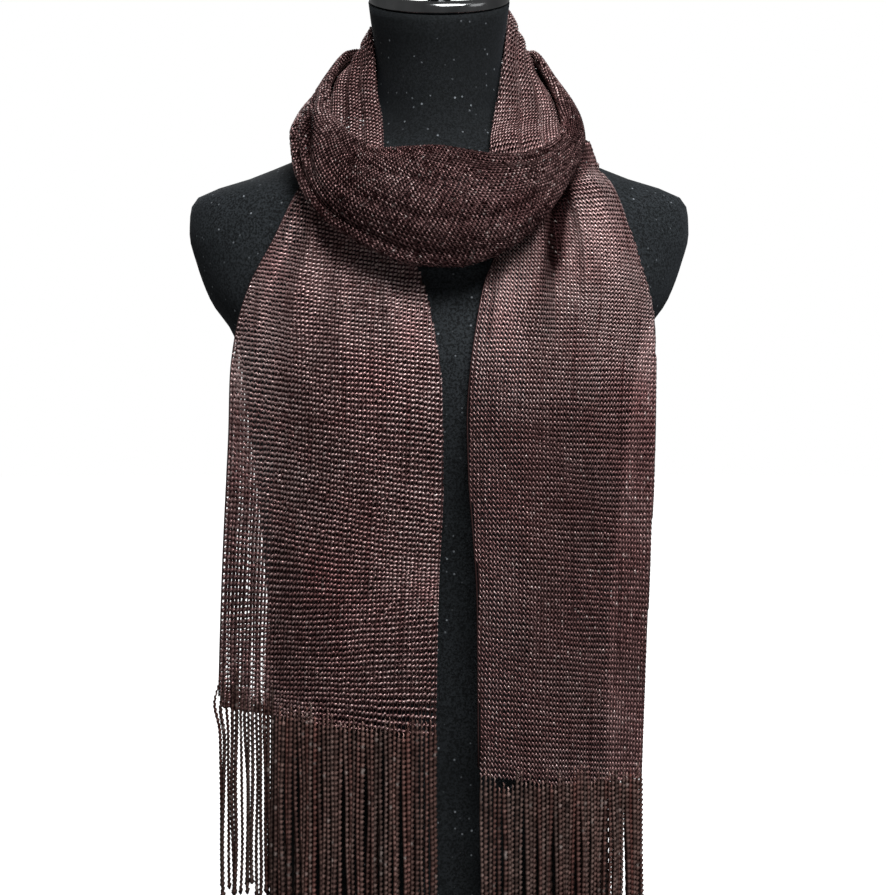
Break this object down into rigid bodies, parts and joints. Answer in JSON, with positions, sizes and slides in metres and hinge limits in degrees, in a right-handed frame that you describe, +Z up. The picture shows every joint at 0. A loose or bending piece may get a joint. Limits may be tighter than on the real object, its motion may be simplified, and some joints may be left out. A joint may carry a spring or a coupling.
{
  "type": "fringed shawl on a dress form",
  "caption": "Long open-knit shawl with fringed ends, wrapped once round the neck of a limbless dress form, both tails hanging in front.",
  "frame": {"origin": "middle of the dress form's flat underside, on the surface that it stands on", "axes": "+Z up along the form, -Y the way the form faces, +X to the right of someone who faces its front"},
  "size_m": [0.369, 0.2316, 0.7752],
  "materials": {
    "flock": "black flocked cover, matt with a short nap",
    "chrome": "polished chrome",
    "knit": "burgundy-brown metallic yarn, open net knit",
    "fringe": "burgundy-brown metallic cords"
  },
  "bodies": {
    "root": {"dress_form": "flock", "neck_cap": "chrome", "cap_knob": "chrome", "tail_left": "knit", "fringe_left": "fringe", "tail_right": "knit", "fringe_right": "fringe", "neck_strip_left": "knit", "nape_under": "knit", "front_loop": "knit", "nape_over": "knit", "neck_strip_right": "knit"}
  },
  "joints": []
}
